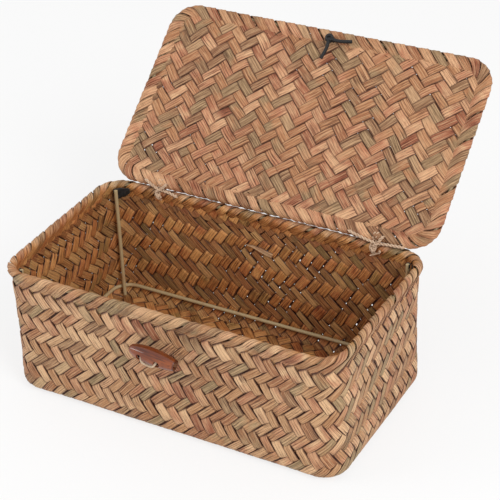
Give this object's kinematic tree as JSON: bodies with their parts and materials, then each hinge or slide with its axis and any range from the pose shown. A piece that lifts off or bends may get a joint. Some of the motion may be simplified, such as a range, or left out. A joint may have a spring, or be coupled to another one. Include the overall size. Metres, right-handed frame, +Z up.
{
  "type": "woven lidded box",
  "caption": "Rectangular box plaited from flat sedge strips over a wire frame, with a twine-hinged lid that folds back and a wooden toggle and elastic loop to hold it shut.",
  "frame": {"origin": "under the middle of the base, on the surface that the box stands on", "axes": "+Z up, +X along the length, the toggle's front faces -Y"},
  "size_m": [0.2733, 0.278, 0.2057],
  "materials": {
    "sedge_basket": "dried flat sedge strips in a two-over-two-under twill, matt with a slight natural sheen",
    "sedge_rim": "sedge strips folded slantwise over the rim, matt",
    "sedge_lid": "dried flat sedge strips in a two-over-two-under twill, matt",
    "sedge_hem": "sedge strips folded slantwise round the lid's edge, matt",
    "coated_wire": "beige coated steel wire, satin",
    "black_tape": "black wrapping tape",
    "jute_twine": "twisted natural twine",
    "black_elastic": "round braided black elastic",
    "toggle_wood": "polished reddish brown wood",
    "cotton_thread": "white cotton thread"
  },
  "bodies": {
    "basket": {"basket_shell": "sedge_basket", "rim_binding": "sedge_rim", "rim_wire": "coated_wire", "base_wire": "coated_wire", "post_rear_right": "coated_wire", "post_rear_left": "coated_wire", "post_front_left": "coated_wire", "post_front_right": "coated_wire", "post_tape_rear_right": "black_tape", "post_tape_rear_left": "black_tape", "post_tape_front_left": "black_tape", "post_tape_front_right": "black_tape", "hinge_tie_left": "jute_twine", "hinge_tie_right": "jute_twine", "hinge_knot_left": "jute_twine", "hinge_knot_right": "jute_twine"},
    "lid": {"lid_panel": "sedge_lid", "lid_hem": "sedge_hem", "lid_wire": "coated_wire", "elastic_knot": "black_elastic"},
    "closure_loop": {"elastic_loop": "black_elastic"},
    "toggle": {"toggle_button": "toggle_wood", "toggle_thread": "cotton_thread"}
  },
  "joints": [
    {"name": "lid_hinge", "type": "hinge", "parent": "basket", "child": "lid", "pos_m": [0, 0.074, 0.1086], "axis": [-1, 0, 0], "range_deg": [-140, 0]},
    {"name": "loop_swing", "type": "hinge", "parent": "lid", "child": "closure_loop", "pos_m": [0.005, 0.18443, 0.19448], "axis": [1, 0, 0], "range_deg": [-48, 120]},
    {"name": "toggle_turn", "type": "hinge", "parent": "basket", "child": "toggle", "pos_m": [-0.0025, -0.074, 0.074], "axis": [0, 1, 0], "range_deg": [-75, 75]}
  ]
}
